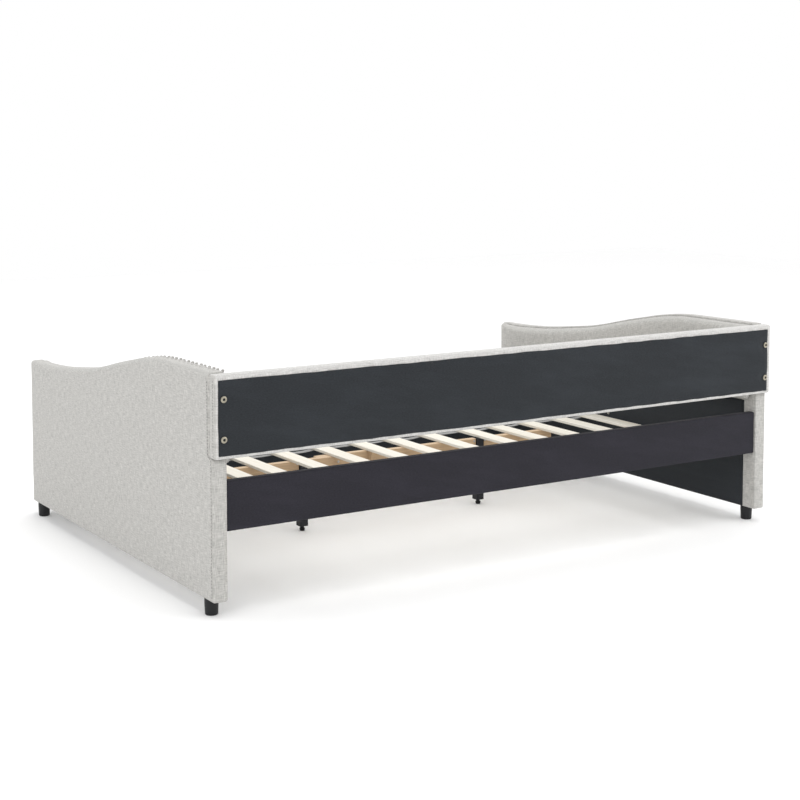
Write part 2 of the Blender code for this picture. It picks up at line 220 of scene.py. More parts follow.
def slab(name, axis, low, high, radii, corner, step, warp=None, relief=None, extra_a=(), extra_b=(),
         under=None):
    """A closed upholstered slab between two corners: rounded edges and corners, any relief.

    axis is the thickness direction. radii round the edges: low a, high a, low b, high b, and
    under does so for the face on the low side where that differs.
    warp(a, b) moves the outline and relief(a, b, side) lifts a face.
    """
    la, lb = [k for k in range(3) if k != axis]
    wide, tall = high[la] - low[la], high[lb] - low[lb]
    under = under or radii
    widest = [max(pair) for pair in zip(radii, under)]
    extra = ([e - low[la] for e in extra_a], [e - low[lb] for e in extra_b])
    a, b, pa, pb = outline_grid(wide, tall, corner, widest, step, extra)
    shapes = {1: edge_fall(a, b, wide, tall, radii), -1: edge_fall(a, b, wide, tall, under)}
    pa, pb = pa + low[la], pb + low[lb]
    if warp:
        pa, pb = warp(pa, pb)
    points = []
    for side in (1, -1):
        face = high[axis] if side > 0 else low[axis]
        rise, fade = shapes[side]
        lift = relief(pa, pb, side) if relief else 0.0
        point = np.empty((*a.shape, 3))
        point[..., la], point[..., lb] = pa, pb
        point[..., axis] = face - side * rise + side * (lift * fade)
        points.append(point.reshape(-1, 3))
    return new_object(name, np.concatenate(points), two_sided_faces(*a.shape))


PRESSURE = 4.0
CLOTH_FRAMES = 20


def puffed(piece, cap, voxel=0.006):
    """Swell a closed piece as stuffed cloth does, then settle it: nothing moves past the cap."""
    remesh = piece.modifiers.new("remesh", "REMESH")
    remesh.mode = "VOXEL"
    remesh.voxel_size = voxel
    remesh.use_smooth_shade = True
    bake(piece)
    start = corners(piece.data)
    cloth = piece.modifiers.new("cloth", "CLOTH")
    cloth.settings.use_pressure = True
    cloth.settings.uniform_pressure_force = PRESSURE
    cloth.settings.effector_weights.gravity = 0.0
    cloth.settings.quality = 6
    cloth.point_cache.frame_start = 1
    cloth.point_cache.frame_end = CLOTH_FRAMES
    for frame_number in range(1, CLOTH_FRAMES + 1):
        bpy.context.scene.frame_set(frame_number)
    bake(piece)
    bpy.context.scene.frame_set(1)
    move = corners(piece.data) - start
    length = np.linalg.norm(move, axis=1, keepdims=True)
    move *= np.minimum(1.0, cap / np.maximum(length, 1e-9))
    piece.data.vertices.foreach_set("co", (start + move).ravel())
    piece.data.update()
    for face in piece.data.polygons:
        face.use_smooth = True
    return piece


def bake(piece):
    """Replace a piece's mesh with what its modifiers make of it."""
    graph = bpy.context.evaluated_depsgraph_get()
    graph.update()
    mesh = bpy.data.meshes.new_from_object(piece.evaluated_get(graph))
    piece.modifiers.clear()
    piece.data = mesh


def corners(mesh):
    """A mesh's points as an array."""
    points = np.empty(len(mesh.vertices) * 3)
    mesh.vertices.foreach_get("co", points)
    return points.reshape(-1, 3).astype(float)


def sheet_mesh(name, axis, low, high, level, step, thickness, relief, ragged=0.0):
    """A thin cloth rectangle on a plane, with wrinkles, closed by its own thickness."""
    la, lb = [k for k in range(3) if k != axis]
    na = max(2, int(round((high[la] - low[la]) / step)))
    nb = max(2, int(round((high[lb] - low[lb]) / step)))
    a, b = np.meshgrid(np.linspace(low[la], high[la], na + 1), np.linspace(low[lb], high[lb], nb + 1),
                       indexing="ij")
    t = level + relief(a, b)
    if ragged:
        middle_a, middle_b = (low[la] + high[la]) / 2, (low[lb] + high[lb]) / 2
        rim_a = np.abs(a - middle_a) / (high[la] - middle_a)
        rim_b = np.abs(b - middle_b) / (high[lb] - middle_b)
        a = a - np.sign(a - middle_a) * rim_a**6 * ragged * (1 + CREASES(b * 22, b * 3))
        b = b - np.sign(b - middle_b) * rim_b**6 * ragged * (1 + CREASES(a * 22, a * 3))
    verts = []
    for i in range(na + 1):
        for j in range(nb + 1):
            p = [0.0, 0.0, 0.0]
            p[la], p[lb], p[axis] = a[i, j], b[i, j], t[i, j]
            verts.append(p)
    faces = []
    for i in range(na):
        for j in range(nb):
            k = i * (nb + 1) + j
            faces.append([k, k + nb + 1, k + nb + 2, k + 1])
    thing = new_object(name, verts, faces)
    solid = thing.modifiers.new("cloth", "SOLIDIFY")
    solid.thickness = thickness
    solid.offset = 0.0
    return thing


BAR_PROFILE = ((0.0, 0.45), (0.18, 0.95), (0.82, 0.95), (1.0, 0.45))


def bars(name, runs, radius, sides=6):
    """Many short round-ended rods, such as stitches, in one mesh. runs holds point pairs."""
    verts, faces = [], []
    for start, end in runs:
        start, end = Vector(start), Vector(end)
        way = (end - start).normalized()
        side = way.orthogonal().normalized()
        over = way.cross(side)
        length = (end - start).length
        base = len(verts)
        for along, r in BAR_PROFILE:
            for k in range(sides):
                angle = 2 * math.pi * k / sides
                verts.append(start + way * along * length
                             + (side * math.cos(angle) + over * math.sin(angle)) * r * radius)
        for ring in range(3):
            for k in range(sides):
                n = (k + 1) % sides
                a, b = base + ring * sides, base + (ring + 1) * sides
                faces.append([a + k, a + n, b + n, b + k])
        faces.append([base + k for k in range(sides)][::-1])
        faces.append([base + 3 * sides + k for k in range(sides)])
    return new_object(name, verts, faces)


def stitches(name, path, pitch, length, radius):
    """A row of stitches along a dense path of points."""
    points = [Vector(p) for p in path]
    marks = [0.0]
    for p, q in zip(points, points[1:]):
        marks.append(marks[-1] + (q - p).length)
    total = marks[-1]
    runs = []
    for k in range(int(total / pitch)):
        ends = []
        for s in (k * pitch, k * pitch + length):
            s = min(s, total - 1e-6)
            i = int(np.searchsorted(marks, s, side="right")) - 1
            f = (s - marks[i]) / max(marks[i + 1] - marks[i], 1e-9)
            ends.append(points[i].lerp(points[i + 1], f))
        runs.append(ends)
    return bars(name, runs, radius)


# ------------------------------------------------------------------ materials
class Graph:
    """A short way to write a node tree."""

    def __init__(self, name):
        self.material = bpy.data.materials.new(name)
        self.material.use_nodes = True
        self.tree = self.material.node_tree
        self.shader = self.tree.nodes["Principled BSDF"]

    def node(self, kind, **inputs):
        """A node whose inputs are linked or set by name."""
        made = self.tree.nodes.new(kind)
        for key, value in inputs.items():
            key = key.replace("_", " ")
            if hasattr(value, "links"):
                self.tree.links.new(value, made.inputs[key])
            else:
                made.inputs[key].default_value = value
        return made

    def math(self, op, a, b=0.0, c=0.0):
        """A Math node's result."""
        made = self.tree.nodes.new("ShaderNodeMath")
        made.operation = op
        for socket, value in zip(made.inputs, (a, b, c)):
            if hasattr(value, "links"):
                self.tree.links.new(value, socket)
            else:
                socket.default_value = value
        return made.outputs[0]

    def mix(self, factor, a, b):
        """One colour laid over another."""
        made = self.tree.nodes.new("ShaderNodeMix")
        made.data_type = "RGBA"
        for socket, value in ((made.inputs[0], factor), (made.inputs[6], a), (made.inputs[7], b)):
            if hasattr(value, "links"):
                self.tree.links.new(value, socket)
            elif isinstance(value, tuple):
                socket.default_value = (*value, 1.0)
            else:
                socket.default_value = value
        return made.outputs[2]

    def place(self):
        """Position in metres as x, y, z sockets."""
        where = self.tree.nodes.new("ShaderNodeTexCoord").outputs["Object"]
        split = self.node("ShaderNodeSeparateXYZ", Vector=where)
        return where, split.outputs[0], split.outputs[1], split.outputs[2]

    def vector(self, x, y, z):
        return self.node("ShaderNodeCombineXYZ", X=x, Y=y, Z=z).outputs[0]

    def noise(self, vector, scale, detail=3.0, rough=0.55):
        return self.node("ShaderNodeTexNoise", Vector=vector, Scale=scale, Detail=detail,
                         Roughness=rough).outputs[0]

    def range(self, value, low, high, to_low=0.0, to_high=1.0):
        """A value carried from one range onto another."""
        made = self.tree.nodes.new("ShaderNodeMapRange")
        self.tree.links.new(value, made.inputs[0])
        for k, number in enumerate((low, high, to_low, to_high), 1):
            made.inputs[k].default_value = number
        return made.outputs[0]

    def finish(self, colour, roughness, height, depth, strength, **fixed):
        """Colour, roughness and bump into the shader, and its plain numbers set directly."""
        links = self.tree.links
        links.new(colour, self.shader.inputs["Base Color"])
        links.new(roughness, self.shader.inputs["Roughness"])
        bump = self.node("ShaderNodeBump", Strength=strength, Distance=depth, Height=height)
        links.new(bump.outputs[0], self.shader.inputs["Normal"])
        for key, value in fixed.items():
            self.shader.inputs[key.replace("_", " ")].default_value = value
        return self.material

    def cloth_axes(self):
        """Two coordinates that follow the cloth on upright and level faces alike."""
        where, x, y, z = self.place()
        normal = self.tree.nodes.new("ShaderNodeTexCoord").outputs["Normal"]
        up = self.math("ABSOLUTE", self.node("ShaderNodeSeparateXYZ", Vector=normal).outputs[2])
        level = self.range(up, 0.6, 0.8)
        u = self.math("ADD", x, y)
        across = self.math("SUBTRACT", x, y)
        v = self.math("ADD", self.math("MULTIPLY", z, self.math("SUBTRACT", 1.0, level)),
                      self.math("MULTIPLY", across, level))
        return where, u, v


def linen(name, tint, pitch=0.0022):
    """Plain-weave upholstery cloth: uneven yarns, slubs, a melange of tints, a soft nap."""
    g = Graph(name)
    where, u, v = g.cloth_axes()
    wander = g.math("MULTIPLY", g.math("SUBTRACT", g.noise(where, 90.0, 2.0), 0.5), pitch * 1.6)
    warp = g.math("SINE", g.math("MULTIPLY", g.math("ADD", u, wander), 2 * math.pi / pitch))
    weft = g.math("SINE", g.math("MULTIPLY", g.math("ADD", v, wander), 2 * math.pi / pitch))
    weave = g.math("MULTIPLY_ADD", g.math("MULTIPLY", warp, weft), 0.5, 0.5)
    slub_a = g.noise(g.vector(g.math("MULTIPLY", u, 40.0), g.math("MULTIPLY", v, 420.0), 0.0), 1.0)
    slub_b = g.noise(g.vector(g.math("MULTIPLY", u, 420.0), g.math("MULTIPLY", v, 40.0), 3.0), 1.0)
    slub = g.math("MULTIPLY", g.math("ADD", slub_a, slub_b), 0.5)
    fleck = g.noise(where, 260.0, 2.0, 0.7)
    cloud = g.noise(where, 9.0, 4.0)
    dark = tuple(c * 0.62 for c in tint)
    light = tuple(min(1.0, c * 1.32) for c in tint)
    colour = g.mix(g.range(slub, 0.38, 0.62), dark, light)
    colour = g.mix(g.range(fleck, 0.35, 0.75, 0.0, 0.45), colour, tint)
    colour = g.mix(g.range(weave, 0.0, 1.0, 0.30, 0.0), colour, tuple(c * 0.62 for c in tint))
    colour = g.mix(g.range(cloud, 0.3, 0.7, 0.10, 0.0), colour, tuple(c * 0.82 for c in tint))
    roughness = g.range(slub, 0.3, 0.7, 0.98, 0.84)
    height = g.math("ADD", g.math("MULTIPLY", weave, 0.55), g.math("MULTIPLY", slub, 1.1))
    return g.finish(colour, roughness, height, 0.0007, 0.85, Sheen_Weight=0.25,
                    Sheen_Roughness=0.5, Specular_IOR_Level=0.2)


def nonwoven(name, tint, sheen):
    """Spun-bonded cloth: tangled fibres, a fine grid of bonded dots, soft dull light, and lighter
    streaks along slanting creases that are a painted highlight.
    """
    g = Graph(name)
    where, u, v = g.cloth_axes()
    k = 2 * math.pi / 0.0026
    dots = g.math("MULTIPLY", g.math("SINE", g.math("MULTIPLY", u, k)),
                  g.math("SINE", g.math("MULTIPLY", v, k)))
    fibres = g.noise(g.vector(g.math("MULTIPLY", u, 160.0), g.math("MULTIPLY", v, 420.0), 0.0), 1.0,
                     5.0, 0.7)
    cloud = g.noise(where, 6.0, 4.0)
    lighter = tuple(min(1.0, c * 1.55) for c in tint)
    colour = g.mix(g.range(fibres, 0.30, 0.75), tuple(c * 0.75 for c in tint), lighter)
    colour = g.mix(g.range(cloud, 0.35, 0.65, 0.0, 0.35), colour, tuple(c * 1.3 for c in tint))
    # Lighter streaks that run with the slant of the dust cover's creases: a painted highlight on the
    # crease ridges.
    where, x, y, z = g.place()
    along = g.math("MULTIPLY_ADD", z, 1.2, x)
    across = g.math("MULTIPLY_ADD", x, -0.22, z)
    crease_highlight = g.noise(g.vector(g.math("MULTIPLY", along, 3.0), g.math("MULTIPLY", across, 15.0), y), 1.0,
                     5.0, 0.65)
    colour = g.mix(g.range(crease_highlight, 0.46, 0.70, 0.0, 0.50), colour, tuple(c * 1.9 for c in tint))
    roughness = g.range(fibres, 0.3, 0.7, 0.92, 0.74)
    height = g.math("ADD", g.math("MULTIPLY", dots, 0.35), fibres)
    return g.finish(colour, roughness, height, 0.0004, 0.6, Sheen_Weight=sheen,
                    Sheen_Roughness=0.55, Specular_IOR_Level=0.3)


def pine(name, pale, grain):
    """Planed softwood with its grain along Y: growth lines, fine pores and drifting tone."""
    g = Graph(name)
    where, x, y, z = g.place()
    bend = g.noise(g.vector(g.math("MULTIPLY", x, 9.0), g.math("MULTIPLY", y, 1.3), z), 1.0, 2.0)
    ring = g.math("ADD", g.math("MULTIPLY", x, 330.0), g.math("MULTIPLY", bend, 34.0))
    ring = g.math("ADD", ring, g.math("MULTIPLY", z, 260.0))
    lines = g.math("POWER", g.math("MULTIPLY_ADD", g.math("SINE", ring), 0.5, 0.5), 2.2)
    pores = g.noise(g.vector(g.math("MULTIPLY", x, 900.0), g.math("MULTIPLY", y, 14.0),
                             g.math("MULTIPLY", z, 900.0)), 1.0, 3.0)
    board = g.noise(g.vector(g.math("MULTIPLY", x, 7.5), g.math("MULTIPLY", y, 0.25), 0.0), 1.0, 1.0)
    colour = g.mix(g.math("MULTIPLY", lines, 0.45), pale, grain)
    colour = g.mix(g.range(board, 0.3, 0.7, 0.0, 0.28), colour, tuple(c * 0.93 for c in grain))
    colour = g.mix(g.range(pores, 0.50, 0.75, 0.0, 0.35), colour, tuple(c * 0.7 for c in grain))
    roughness = g.range(pores, 0.3, 0.7, 0.52, 0.72)
    height = g.math("ADD", g.math("MULTIPLY", lines, 0.4), pores)
    return g.finish(colour, roughness, height, 0.0003, 0.5, Specular_IOR_Level=0.35)


def plywood(name, face, ply):
    """Laminated beam: long grain on the faces, a raw pale top with glue lines along it."""
    g = Graph(name)
    where, x, y, z = g.place()
    warp = g.noise(g.vector(g.math("MULTIPLY", x, 2.0), 0.0, g.math("MULTIPLY", z, 40.0)), 1.0, 3.0)
    fibre = g.noise(g.vector(g.math("MULTIPLY", x, 10.0), g.math("MULTIPLY", y, 500.0),
                             g.math("MULTIPLY", g.math("ADD", z, g.math("MULTIPLY", warp, 0.012)),
                                    420.0)), 1.0, 4.0, 0.6)
    layers = g.math("SINE", g.math("MULTIPLY", y, 2 * math.pi / 0.0036))
    glue = g.range(layers, 0.82, 1.0, 0.0, 0.7)
    normal = g.tree.nodes.new("ShaderNodeTexCoord").outputs["Normal"]
    up = g.node("ShaderNodeSeparateXYZ", Vector=normal).outputs[2]
    side_up = g.range(up, 0.5, 0.9)
    colour = g.mix(g.range(fibre, 0.30, 0.72), tuple(c * 0.70 for c in face), face)
    colour = g.mix(g.math("MULTIPLY", side_up, 0.75), colour, ply)
    colour = g.mix(g.math("MULTIPLY", glue, side_up), colour, tuple(c * 0.45 for c in face))
    roughness = g.range(fibre, 0.3, 0.7, 0.55, 0.75)
    return g.finish(colour, roughness, fibre, 0.0004, 0.5, Specular_IOR_Level=0.35)


def hard(name, tint, rough, metallic, grain, depth, wear=0.12):
    """Plastic or plated metal: fine grain, faint scuffs, slight drift of tone and gloss."""
    g = Graph(name)
    where, x, y, z = g.place()
    fine = g.noise(where, grain, 3.0, 0.6)
    scuff = g.noise(g.vector(g.math("MULTIPLY", x, 60.0), g.math("MULTIPLY", y, 60.0),
                             g.math("MULTIPLY", z, 700.0)), 1.0, 4.0, 0.7)
    drift = g.noise(where, 24.0, 2.0)
    colour = g.mix(g.range(scuff, 0.55, 0.80, 0.0, wear * 3), tint,
                   tuple(min(1.0, c * 1.5 + 0.02) for c in tint))
    colour = g.mix(g.range(drift, 0.3, 0.7, 0.0, 0.3), colour, tuple(c * 0.8 for c in tint))
    roughness = g.range(scuff, 0.3, 0.8, rough * 0.85, min(1.0, rough * 1.25))
    return g.finish(colour, roughness, fine, depth, 0.6, Metallic=metallic, Specular_IOR_Level=0.35)


def webbing(name, tint):
    """Woven tape: ribs across, cords along and a little fuzz."""
    g = Graph(name)
    where, x, y, z = g.place()
    ribs = g.math("SINE", g.math("MULTIPLY", x, 2 * math.pi / 0.0022))
    cords = g.math("SINE", g.math("MULTIPLY", y, 2 * math.pi / 0.0031))
    fuzz = g.noise(where, 700.0, 2.0)
    height = g.math("MULTIPLY_ADD", g.math("MULTIPLY", ribs, cords), 0.5, 0.5)
    colour = g.mix(g.range(height, 0.0, 1.0, 0.5, 0.0), tint, tuple(c * 0.6 for c in tint))
    colour = g.mix(g.range(fuzz, 0.4, 0.7, 0.0, 0.3), colour, tuple(min(1, c * 1.3) for c in tint))
    roughness = g.range(fuzz, 0.3, 0.7, 0.85, 0.95)
    return g.finish(colour, roughness, height, 0.0005, 0.8, Sheen_Weight=0.2)


MAT = {
    "linen": linen("linen", (0.500, 0.491, 0.468)),
    "linen_border": linen("linen_border", (0.60, 0.592, 0.575)),
    "dust_cloth": nonwoven("dust_cloth", (0.0140, 0.0166, 0.0200), 0.04),
    "rail_cloth": nonwoven("rail_cloth", (0.0130, 0.0122, 0.0178), 0.03),
    "pine": pine("pine", (0.77, 0.745, 0.675), (0.72, 0.65, 0.53)),
    "plywood": plywood("plywood", (0.57, 0.40, 0.245), (0.60, 0.455, 0.31)),
    "webbing": webbing("webbing", (0.27, 0.27, 0.265)),
    "black_plastic": hard("black_plastic", (0.0062, 0.0068, 0.0080), 0.45, 0.0, 900.0, 0.0002),
    "black_steel": hard("black_steel", (0.016, 0.0165, 0.020), 0.50, 0.2, 1400.0, 0.0002),
    "zinc": hard("zinc", (0.46, 0.45, 0.43), 0.34, 1.0, 1200.0, 0.0001),
    "nickel": hard("nickel", (0.38, 0.35, 0.28), 0.36, 1.0, 1200.0, 0.0001),
    "staple": hard("staple", (0.035, 0.036, 0.038), 0.45, 0.4, 1200.0, 0.0001),
    "thread": hard("thread", (0.27, 0.265, 0.255), 0.9, 0.0, 3000.0, 0.0002),
}
RECORD_SLOTS = {s["node"]: s["material_slot"] for s in frame["record"]["subparts"]}


def dress(thing, slot, material=None):
    """Give a piece its body and its material: the one named by material, or else by slot."""
    thing.data.materials.clear()
    thing.data.materials.append(MAT[material or slot])
    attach(thing, BODY)
    return thing


def dress_cad_nodes():
    """The CAD's own nodes take the detailed materials in place of their plain ones."""
    for name, node in frame["nodes"].items():
        for held in node.material_slots:
            held.material = MAT[RECORD_SLOTS[name]]


# ------------------------------------------------------------------ arms
def lining_relief(a, b):
    """The faint ripples of a lining that is stapled flat."""
    return 0.0003 * CREASES(a * 9, b * 14)


def beside_panel(z):
    """From 0 below the rebate to 1 beside the back panel."""
    return np.clip((z - (REBATE_Z - STEP_HALF)) / (2 * STEP_HALF), 0, 1)


def step_share(y, z, y_rear):
    """How far a point has moved forward into the rebate, from 0 below it to 1 beside it."""
    reach = 0.20
    share = np.clip((y - (y_rear - reach)) / reach, 0, 1)
    return share * beside_panel(z)


def arm_warp(z_low, top_drop, y_rear=None):
    """Carries a plain rectangle onto the arm's outline: the wavy top and the rear rebate."""

    def warp(y, z):
        f = np.clip((z - z_low) / (ARM_TOP_Z - z_low), 0, 1)
        f = f * f * (3 - 2 * f)
        z_new = z + (crown(y) - top_drop - ARM_TOP_Z) * f
        if y_rear is not None:
            y = y - REBATE_DEPTH * step_share(y, z_new, y_rear)
        return y, z_new

    return warp


def seam_y(z, y_rear):
    """Where the arm's rear seam runs: just before the rear corner, forward beside the panel."""
    return y_rear - SEAM_INSET - REBATE_DEPTH * beside_panel(z)


def arm_relief(y, z, side):
    """Cloth pulled over a board: slow waves, and little tucks along the top edge."""
    slow = 0.0009 * WAVES(y * 5.0 + 9, z * 5.0 + side) + 0.0005 * CREASES(y * 15, z * 12 + side)
    near_top = np.exp(-np.maximum(crown(y) - z, 0) / 0.030)
    tucks = 0.0007 * FINE(y * 46.0, z * 6.0) * near_top
    groove = SEAM_DEPTH * np.exp(-(((y - seam_y(z, ARM_REAR_Y)) / SEAM_WIDTH) ** 2))
    return slow + tucks - groove


def arm(side, sign):
    """One arm: wrapped board, stitched rear seam, puckers on the right arm only, padded inner face,
    lining.
    """
    low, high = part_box(f"arm_{side}_board")
    cover = arm_cover(side, sign, low, high)
    arm_stitches(side, sign, low, high)
    if side == "r":
        arm_gathers(side, sign, low, high)
    arm_inner_pad(side, sign)
    arm_lining(side)


def arm_cover(side, sign, low, high):
    """The board's linen, with a groove along its rear seam and dark cloth under the board."""
    rear = high[1]
    cover = slab(
        f"arm_{side}_cover", 0, low, (high[0], high[1], ARM_TOP_Z),
        ARM_OUTSIDE if sign > 0 else ARM_INSIDE, 0.006, 0.010,
        warp=arm_warp(low[2], 0.0, rear), relief=arm_relief,
        extra_a=[rear - SEAM_INSET + d for d in (-0.0030, -0.0015, 0.0, 0.0012)],
        extra_b=[REBATE_Z - STEP_HALF, REBATE_Z, REBATE_Z + STEP_HALF],
        under=ARM_INSIDE if sign > 0 else ARM_OUTSIDE,
    )
    dress(cover, "linen")
    cover.data.materials.append(MAT["dust_cloth"])
    for face in cover.data.polygons:
        if face.normal.z < -0.9 and face.center.z < low[2] + 0.004:
            face.material_index = 1
    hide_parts(f"arm_{side}_board")
    return cover


def arm_stitches(side, sign, low, high):
    """The row of stitches that runs beside the rear seam on the arm's outer face."""
    face = high[0] if sign > 0 else low[0]
    path = []
    for z in np.arange(low[2] + 0.012, 0.672, 0.002):
        y = float(seam_y(z, high[1])) - SEAM_BEHIND_STITCHES
        lift = float(arm_relief(np.array(y), np.array(z), sign))
        path.append((face + sign * (lift + 0.0003), y, z))
    dress(stitches(f"arm_{side}_stitches", path, 0.0095, 0.0055, 0.00095), "linen", "thread")


def arm_lining(side):
    """The dark cloth on the inner face below the pad."""
    low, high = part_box(f"arm_{side}_lining")
    level = (low[0] + high[0]) / 2
    lining = sheet_mesh(f"arm_{side}_lining_cloth", 0, low, high, level, 0.012, 0.0007, lining_relief)
    dress(lining, "dust_cloth")
    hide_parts(f"arm_{side}_lining")


def arm_gathers(side, sign, low, high):
    """Small puckers in two rows along the arm's top where it is convex: on the board and the pad."""
    joint = low[0] if sign > 0 else high[0]
    runs = []
    for row, (start, end) in enumerate(GATHER_ROWS):
        for k, y in enumerate(np.arange(0.200 + 0.013 * row, 0.690, GATHER_PITCH)):
            wobble = 0.0012 * math.sin(k * 2.4 + row)
            z = float(crown(y)) - GATHER_SINK
            runs.append(((joint + sign * (start + wobble), y, z),
                         (joint + sign * (end + wobble), y + 0.0030, z)))
    dress(bars(f"arm_{side}_gathers", runs, GATHER_R), "linen")


def arm_inner_pad(side, sign):
    """The padded inner face: its wave meets the board's, its free edge well rounded."""
    low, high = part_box(f"arm_{side}_pad")
    shrink = PAD_SHRINK
    front_y = low[1] - PAD_FRONT_GAP + shrink
    x_low, x_high = (low[0] + shrink, high[0]) if sign > 0 else (low[0], high[0] - shrink)
    inner = slab(
        f"arm_{side}_inner_pad", 0, (x_low, front_y, low[2] + shrink),
        (x_high, high[1] - shrink, ARM_TOP_Z),
        PAD_AGAINST_ARM if sign > 0 else PAD_INSIDE, 0.012, 0.011,
        warp=arm_warp(low[2], PAD_DROP + shrink), relief=arm_relief,
        under=PAD_INSIDE if sign > 0 else PAD_AGAINST_ARM,
    )
    puffed(inner, PAD_SWELL)
    dress(inner, "linen")
    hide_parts(f"arm_{side}_pad")


# ------------------------------------------------------------------ back panel
def back_relief(x, z, side):
    """Slow waves, with small tucks where the cloth turns over the panel's edges."""
    near_top = np.exp(-np.maximum(BACK_TOP_Z - z, 0) / 0.02)
    edge = near_top + np.exp(-np.maximum(z - BACK_BOTTOM_Z, 0) / 0.02)
    return 0.0007 * WAVES(x * 6, z * 8 + side) + 0.0006 * FINE(x * 40, z * 9) * edge


def dust_relief(x, z):
    """Soft slanting creases, and small pulls where the cloth is stapled along its edges."""
    along, across = x + 1.2 * z, z - 0.22 * x
    ridge = CREASES(along * 2.6, across * 9) + 0.6 * WAVES(along * 5, across * 19)
    slant = 0.0014 + 0.0026 * ridge
    fine = 0.0005 * FINE(x * 16, z * 26)
    top = np.exp(-np.abs(COVER_TOP_Z - z) / 0.018)
    low = np.exp(-np.abs(z - COVER_BOTTOM_Z) / 0.018)
    drift = x + 0.012 * WAVES(x * 7, 0 * x)
    pulls = 0.0007 * np.cos(drift * 2 * math.pi / 0.060) * (top + low)
    near_bolt = np.ones_like(x)
    spokes = np.zeros_like(x)
    for bolt_z in BOLT_Z:
        dx, dz = np.abs(x) - BOLT_X, z - bolt_z
        reach = np.hypot(dx, dz)
        near_bolt = near_bolt * np.clip((reach - 0.011) / 0.02, 0, 1)
        spokes = spokes + 0.0006 * np.cos(np.arctan2(dz, dx) * 7) * np.exp(-reach / 0.022)
    inside = np.minimum.reduce([1.032 - np.abs(x), z - COVER_BOTTOM_Z, COVER_TOP_Z - z])
    total = (slant + fine) * np.clip(inside / 0.016, 0, 1) + pulls + spokes
    return np.clip(total * near_bolt, -0.0003, 0.0048)


def staples(name, low, high, face):
    """Flat wire staples that hold the dust cloth down along its edges."""
    runs = []
    for z in (low[2] + 0.006, high[2] - 0.006):
        for k, x in enumerate(np.arange(low[0] + 0.045, high[0] - 0.04, STAPLE_PITCH)):
            tilt = 0.0010 * math.sin(k * 1.7)
            runs.append(((x - STAPLE_HALF, face, z - tilt), (x + STAPLE_HALF, face, z + tilt)))
    dress(bars(name, runs, 0.00055), "zinc", "staple")


# Size of the dark discs that paint the shade in each bolt's hexagon socket: the socket radius, then the
# depth and radius of each layer.
SOCKET_R = 0.0042
SOCKET_SHADE_LAYERS = ((0.0026, SOCKET_R), (0.0021, SOCKET_R), (0.0019, 0.0034))


def sockets():
    """Painted shade: dark hexagon discs set at the floor of each bolt's socket, standing for the shade
    in that recess.
    """
    for side, sign in (("r", 1), ("l", -1)):
        for k, z in enumerate(BOLT_Z):
            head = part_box(f"back_bolt_{side}{k + 1}")[1][1]
            verts, faces = [], []
            for depth, r in SOCKET_SHADE_LAYERS:
                for n in range(6):
                    turn = math.radians(60 * n + 30)
                    x = sign * BOLT_X + r * math.cos(turn)
                    verts.append((x, head - depth, z + r * math.sin(turn)))
            for ring in (0, 6):
                for n in range(6):
                    m = (n + 1) % 6
                    faces.append([ring + n, ring + m, ring + 6 + m, ring + 6 + n])
            faces += [list(range(6)), list(range(12, 18))[::-1]]
            # Painted shade: the black steel disc stands for the shade deep in the socket.
            dress(new_object(f"bolt_socket_shade_{side}{k + 1}", verts, faces, False), "black_steel")


def back():
    """The back panel: wrapped board, end stitches, front cushion, dust cover, and painted shade in each
    bolt's socket.
    """
    cover = back_cover()
    back_cushion()
    dust_cover()
    sockets()


def back_cover():
    """The board's linen, plain on its end faces, with a row of stitches down each end."""
    low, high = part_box("back_board")
    cover = slab("back_cover", 1, low, high, BACK_RADII, 0.006, 0.012, relief=back_relief)
    dress(cover, "linen_border")
    cover.data.materials.append(MAT["linen"])
    for face in cover.data.polygons:
        if abs(face.normal.x) > 0.6:
            face.material_index = 1
    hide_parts("back_board")
    for side, sign in (("r", 1), ("l", -1)):
        x = high[0] if sign > 0 else low[0]
        path = [(x + sign * 0.0004, high[1] - 0.0140, z) for z in np.arange(0.456, 0.674, 0.002)]
        dress(stitches(f"back_stitches_{side}", path, 0.0085, 0.0050, 0.0008), "linen", "thread")
    return cover


def back_cushion():
    """The padded front of the panel, between the arms."""
    low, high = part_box("back_cushion")
    shrink = CUSHION_SHRINK
    cushion = slab("back_pad", 1, [v + shrink for v in low], [v - shrink for v in high],
                   CUSHION_RADII, 0.022, 0.012, relief=back_relief)
    puffed(cushion, CUSHION_SWELL, CUSHION_VOXEL)
    dress(cushion, "linen")
    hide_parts("back_cushion")


def dust_cover():
    """The creased black cloth stapled over the panel's back, a little short at the left arm."""
    low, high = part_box("back_dust_cover")
    level = low[1] + 0.0005
    low = (low[0] + 0.006, low[1], low[2])
    cloth = sheet_mesh("back_dust_cloth", 1, low, high, level, 0.006, 0.0006, dust_relief,
                       ragged=0.0012)
    dress(cloth, "dust_cloth")
    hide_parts("back_dust_cover")
    staples("dust_staples", low, high, level + 0.0009)


# ------------------------------------------------------------------ rails, slats, straps
def rail_relief(x, z, side):
    """Very shallow waves: the cloth lies flat on the board."""
    return 0.0005 * WAVES(x * 4, z * 9 + side) + 0.0002 * FINE(x * 30, z * 30)


